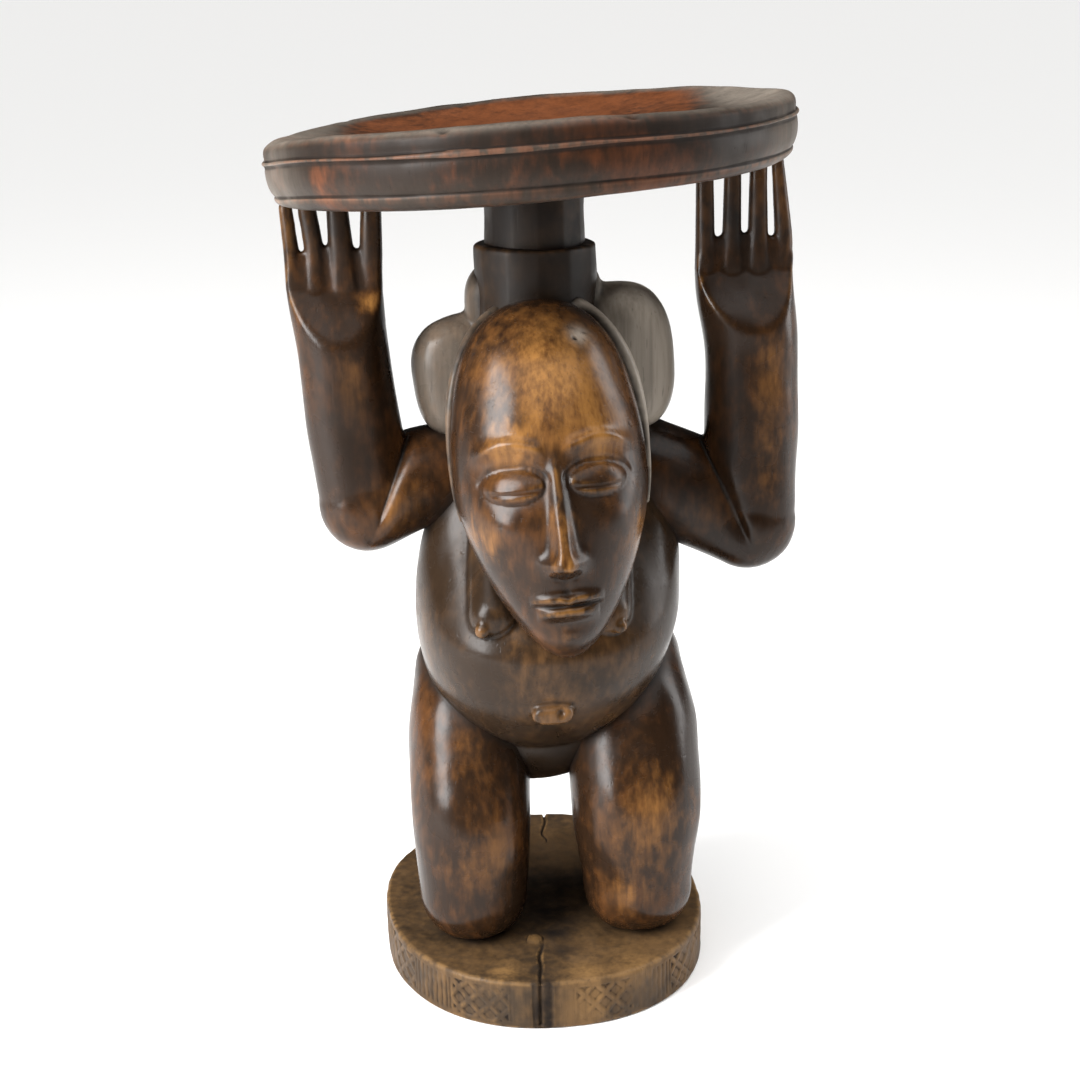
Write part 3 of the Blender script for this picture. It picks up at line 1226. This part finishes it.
# %% Patina group
def make_patina():
    """Old dark polish that gives way to brown wood in patches, where it is rubbed and on edges."""
    inputs = [("Polish", "Color"), ("Brown", "Color"), ("Bright", "Color"), ("Streaks", "Float"),
              ("Rubbed", "Float"), ("Edge", "Float"), ("Bareness", "Float")]
    tree, given, out = new_group("patina", inputs, [("Color", "Color")])
    blotch = noise(tree, 20.0, 3.0)
    flecks = noise(tree, 210.0, 5.0, (1, 1, 0.5))
    mottle = weigh(tree, (blotch, 0.8), (flecks, 0.5), (given["Rubbed"], 0.28), (given["Bareness"], 0.30))
    bare = fade(tree, mottle, 0.65, 1.05)
    glow = maths(tree, "MULTIPLY", bare, fade(tree, given["Streaks"], 0.22, 0.62))
    glow = maths(tree, "MULTIPLY", glow, maths(tree, "ADD", given["Rubbed"], 0.06))
    colour = blend(tree, bare, given["Polish"], given["Brown"])
    colour = blend(tree, glow, colour, given["Bright"])
    rim = maths(tree, "MULTIPLY", given["Edge"], fade(tree, flecks, 0.35, 0.6))
    colour = blend(tree, maths(tree, "MULTIPLY", rim, 0.55), colour, given["Bright"])
    shade = fade(tree, given["Streaks"], 0.3, 0.7, 0.88, 1.10)
    colour = add(tree, "ShaderNodeVectorMath", {0: colour, "Scale": shade}, operation="SCALE").outputs[0]
    return close_group(tree, out, Color=colour)


patina_group = make_patina()

# %% Grime group
def make_grime():
    """Dark oil and dust in the creases and pores."""
    inputs = [("Color", "Color"), ("Grime", "Color"), ("Crease", "Float"), ("Pores", "Float"),
              ("Amount", "Float")]
    tree, given, out = new_group("grime", inputs, [("Color", "Color"), ("Mask", "Float")])
    ragged = fade(tree, noise(tree, 70.0, 5.0), 0.25, 0.7, 0.45, 1.1)
    mask = maths(tree, "MULTIPLY", maths(tree, "MULTIPLY", given["Crease"], ragged), given["Amount"])
    mask = maths(tree, "MAXIMUM", mask, maths(tree, "MULTIPLY", given["Pores"], 0.3))
    mask = add(tree, "ShaderNodeClamp", (mask,)).outputs[0]
    return close_group(tree, out, Color=blend(tree, mask, given["Color"], given["Grime"]), Mask=mask)


grime_group = make_grime()

# %% Tool marks group
def make_marks():
    """Shallow flats left by the knife, small dents, and fine scratches."""
    tree, _, out = new_group("tool_marks", [], [("Height", "Float"), ("Scratches", "Float")])
    where = add(tree, "ShaderNodeTexCoord").outputs["Object"]
    flats = add(tree, "ShaderNodeTexVoronoi", {"Vector": where, "Scale": 75.0}, feature="SMOOTH_F1")
    flats.inputs["Smoothness"].default_value = 0.9
    dents = fade(tree, noise(tree, 210.0, 3.0), 0.66, 0.8)
    scratches = fade(tree, noise(tree, 1.0, 2.0, (240, 240, 1500)), 0.68, 0.74)
    height = weigh(tree, (flats.outputs["Distance"], 0.4), (dents, -0.5), (scratches, -0.12))
    return close_group(tree, out, Height=height, Scratches=scratches)


marks_group = make_marks()

# %% [markdown]
# ## Finishes
# Four finishes use the groups: the dark polish of the body, the same wood where hands have worn it brown,
# the red-brown seat, and the dry, yellower base. Gloss follows wear: polish is smooth, grime and dry wood
# are dull.

# %% Finishes
GRIME = (0.0085, 0.0052, 0.0034, 1.0)
DUST = (0.36, 0.31, 0.255, 1.0)
FINISHES = {  # colours of polish, of brown and of bright wood, then bareness, grime, gloss, relief and shine
    "dark_patina": ((0.0215, 0.0125, 0.0070), (0.062, 0.032, 0.014), (0.19, 0.092, 0.034),
                    0.20, 1.0, (0.22, 0.52), 0.3, 0.17),
    "worn_brown": ((0.0190, 0.0095, 0.0048), (0.072, 0.027, 0.0085), (0.25, 0.115, 0.030),
                   0.20, 1.0, (0.22, 0.50), 0.3, 0.20),
    "seat_red_brown": ((0.0160, 0.0098, 0.0064), (0.085, 0.027, 0.0098), (0.128, 0.040, 0.0133),
                       0.16, 0.9, (0.40, 0.68), 0.3, 0.13),
    "base_brown": ((0.037, 0.023, 0.0125), (0.098, 0.054, 0.0220), (0.19, 0.105, 0.0385),
                   0.60, 1.0, (0.48, 0.82), 0.8, 0.18),
}


def place_group(tree, group, inputs=()):
    return add(tree, "ShaderNodeGroup", inputs, node_tree=group).outputs


def wood_finish(name, polish, brown, bright, bareness, grime, gloss, relief, shine):
    """gloss: roughness of polished and of dull wood. relief: height of the grain. shine: the reflection."""
    material, tree, shader = new_material(name)
    worn = {}
    for word in ("edge", "crease", "rubbed", "dusty"):
        worn[word] = add(tree, "ShaderNodeAttribute", attribute_name=word).outputs["Fac"]
    grain = place_group(tree, grain_group)
    marks = place_group(tree, marks_group)
    patina = place_group(tree, patina_group, {
        "Polish": (*polish, 1.0), "Brown": (*brown, 1.0), "Bright": (*bright, 1.0), "Bareness": bareness,
        "Streaks": grain["Streaks"], "Rubbed": worn["rubbed"], "Edge": worn["edge"],
    })
    dust = maths(tree, "MULTIPLY", worn["dusty"], fade(tree, grain["Streaks"], 0.25, 0.7, 0.55, 1.0))
    dirt = place_group(tree, grime_group, {
        "Color": blend(tree, dust, patina["Color"], DUST), "Grime": GRIME, "Amount": grime,
        "Crease": worn["crease"], "Pores": grain["Pores"],
    })
    tree.links.new(dirt["Color"], shader.inputs["Base Color"])
    cloud = noise(tree, 38.0, 4.0)
    clouds = fade(tree, cloud, 0.35, 0.7, 0.0, 0.5)
    dull = weigh(tree, (dirt["Mask"], 0.7), (clouds, 1.0), (marks["Scratches"], 0.25), (dust, 0.35))
    tree.links.new(fade(tree, dull, 0.0, 1.0, *gloss), shader.inputs["Roughness"])
    height = weigh(tree, (grain["Height"], relief), (marks["Height"], 0.9))
    bump = add(tree, "ShaderNodeBump", {"Strength": 0.35, "Distance": 0.5 * MM, "Height": height})
    tree.links.new(bump.outputs[0], shader.inputs["Normal"])
    shader.inputs["Metallic"].default_value = 0.0
    shader.inputs["Specular IOR Level"].default_value = shine
    return material


finishes = {name: wood_finish(name, *values) for name, values in FINISHES.items()}
print(len(finishes), "finishes")

# %% [markdown]
# ## Put together
# Each piece takes its finish, rides on the only body, and stands for the solids that it replaces.

# %% Put together
def dress(piece, slot_name, *nodes):
    piece.data.materials.clear()
    piece.data.materials.append(finishes[slot_name])
    piece.data.shade_smooth()
    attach(piece, "root")
    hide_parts(*nodes)


dress(seat, "seat_red_brown", "seat")
dress(base, "base_brown", "base")
dress(collar, "dark_patina", "collar")
dress(stem, "dark_patina", "stem")
dress(trunk, "dark_patina", "torso", "pelvis", "navel", "right_breast", "left_breast")
dress(neck, "dark_patina", "neck")
dress(head, "worn_brown", "head")
lobes = [f"{word}_coiffure_lobe" for word in ("upper", "right", "left")]
dress(coiffure, "dark_patina", "coiffure_hub", *lobes)
for word, side in SIDES:
    dress(thighs[side], "worn_brown", f"{word}_thigh")
    dress(lower_legs[side], "dark_patina", f"{word}_lower_leg", f"{word}_foot")
    dress(hairbands[side], "dark_patina", f"{word}_hairband")
    fingers = [f"{word}_finger_{number}" for number in range(1, 5)]
    dress(arms[side], "worn_brown", f"{word}_upper_arm", f"{word}_forearm", *fingers)
print(len(pieces), "pieces dressed")
